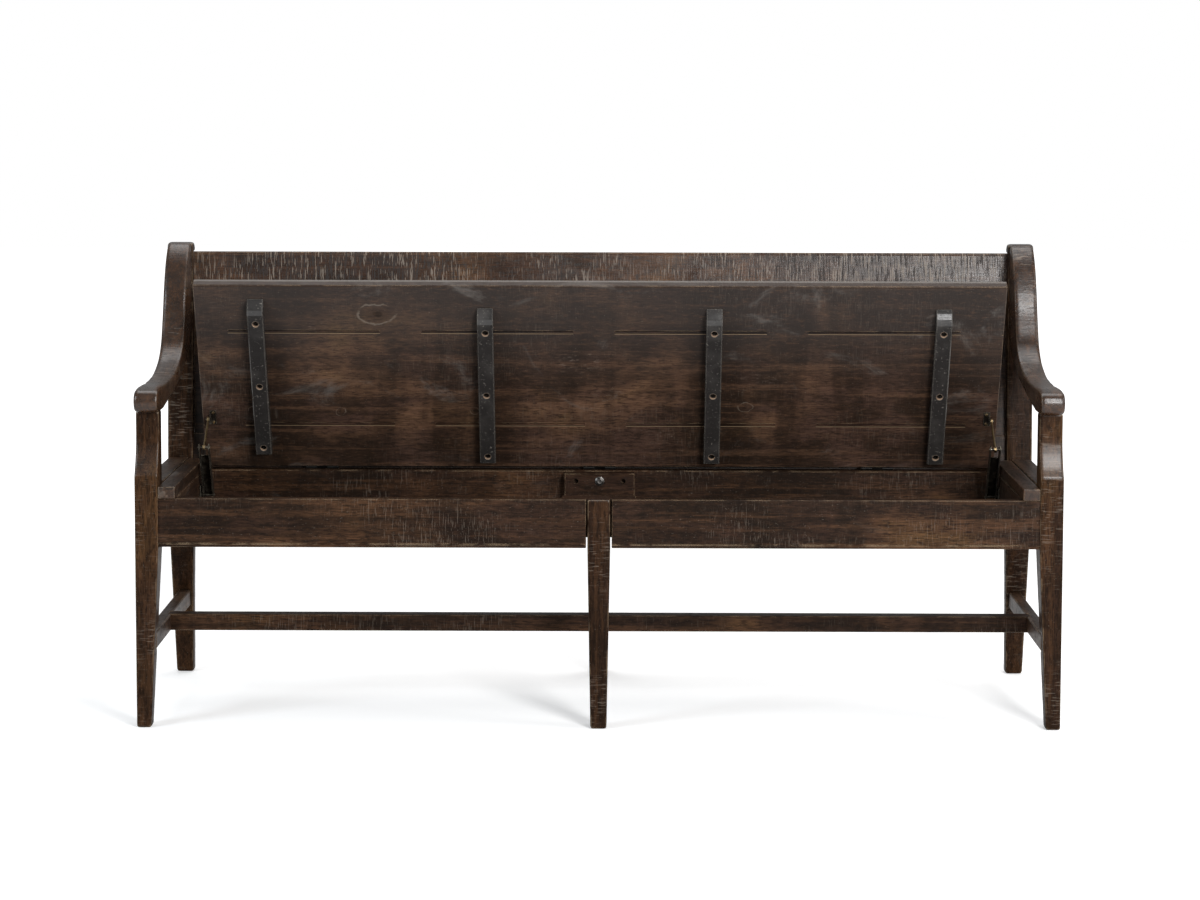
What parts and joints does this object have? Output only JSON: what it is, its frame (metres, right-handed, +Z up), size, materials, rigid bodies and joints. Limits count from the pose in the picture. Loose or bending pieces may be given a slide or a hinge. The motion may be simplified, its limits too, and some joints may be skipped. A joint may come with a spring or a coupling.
{
  "type": "storage bench",
  "caption": "Long wooden storage bench with scroll arms, a panelled back and a hinged seat lid on folding stays.",
  "frame": {"origin": "middle of the bench on the floor, at the bottom centre of its bounding box", "axes": "+X along the bench to the sitter's left hand as seen from the front, +Y to the back, +Z up"},
  "size_m": [1.7, 0.5697, 0.8683],
  "materials": {
    "stained_wood": "dark brown stained pine, satin, worn lighter along its edges",
    "inner_wood": "dark stained wood, matte",
    "black_batten": "black painted wood, satin",
    "black_steel": "blackened steel, satin",
    "brassed_steel": "brass coloured plated steel, satin",
    "bright_steel": "nickel plated steel, bright"
  },
  "bodies": {
    "frame": {"arm_left": "stained_wood", "arm_right": "stained_wood", "back_apron": "stained_wood", "back_panel": "stained_wood", "back_post_left": "stained_wood", "back_post_right": "stained_wood", "box_bottom": "inner_wood", "box_side_left": "inner_wood", "box_side_right": "inner_wood", "centre_leg_back": "stained_wood", "centre_leg_front": "stained_wood", "corner_block_back_left": "inner_wood", "corner_block_back_right": "inner_wood", "corner_block_front_left": "inner_wood", "corner_block_front_right": "inner_wood", "crest_rail": "stained_wood", "front_apron_left": "stained_wood", "front_apron_right": "stained_wood", "front_leg_left": "stained_wood", "front_leg_right": "stained_wood", "hinge_leaf_1_fixed": "black_steel", "hinge_leaf_2_fixed": "black_steel", "hinge_leaf_3_fixed": "black_steel", "hinge_pin_1": "black_steel", "hinge_pin_2": "black_steel", "hinge_pin_3": "black_steel", "long_stretcher": "stained_wood", "lower_back_rail": "stained_wood", "seat_end_board_left": "stained_wood", "seat_end_board_right": "stained_wood", "seat_strip_left": "stained_wood", "seat_strip_right": "stained_wood", "side_apron_left": "stained_wood", "side_apron_right": "stained_wood", "side_stretcher_left": "stained_wood", "side_stretcher_right": "stained_wood", "splice_block_back": "stained_wood", "splice_block_front": "stained_wood", "splice_bolt_back": "bright_steel", "splice_bolt_front": "bright_steel", "stay_base_left": "black_steel", "stay_base_right": "black_steel"},
    "lid": {"hinge_leaf_1_lid": "black_steel", "hinge_leaf_2_lid": "black_steel", "hinge_leaf_3_lid": "black_steel", "lid_batten_1": "black_batten", "lid_batten_2": "black_batten", "lid_batten_3": "black_batten", "lid_batten_4": "black_batten", "seat_lid": "stained_wood", "stay_bracket_left": "black_steel", "stay_bracket_right": "black_steel"},
    "stay_arm_left": {"stay_arm_left": "black_steel"},
    "stay_rod_left": {"stay_rod_left": "brassed_steel"},
    "stay_arm_right": {"stay_arm_right": "black_steel"},
    "stay_rod_right": {"stay_rod_right": "brassed_steel"}
  },
  "joints": [
    {"name": "lid_hinge", "type": "hinge", "parent": "frame", "child": "lid", "pos_m": [0, 0.1525, 0.429], "axis": [1, 0, 0], "range_deg": [0, 64.3]},
    {"name": "stay_foot_left", "type": "hinge", "parent": "frame", "child": "stay_arm_left", "pos_m": [-0.7602, 0.0885, 0.382], "axis": [1, 0, 0], "range_deg": [0, 64.3]},
    {"name": "stay_elbow_left", "type": "hinge", "parent": "stay_arm_left", "child": "stay_rod_left", "pos_m": [-0.7602, 0.02561, 0.48269], "axis": [1, 0, 0], "range_deg": [-64.3, 0]},
    {"name": "stay_foot_right", "type": "hinge", "parent": "frame", "child": "stay_arm_right", "pos_m": [0.7602, 0.0885, 0.382], "axis": [1, 0, 0], "range_deg": [0, 64.3]},
    {"name": "stay_elbow_right", "type": "hinge", "parent": "stay_arm_right", "child": "stay_rod_right", "pos_m": [0.7602, 0.02561, 0.48269], "axis": [1, 0, 0], "range_deg": [-64.3, 0]}
  ],
  "couplings": [
    {"joint": "stay_foot_left", "follows": "lid_hinge", "ratio": 1},
    {"joint": "stay_elbow_left", "follows": "lid_hinge", "ratio": -1},
    {"joint": "stay_foot_right", "follows": "lid_hinge", "ratio": 1},
    {"joint": "stay_elbow_right", "follows": "lid_hinge", "ratio": -1}
  ]
}
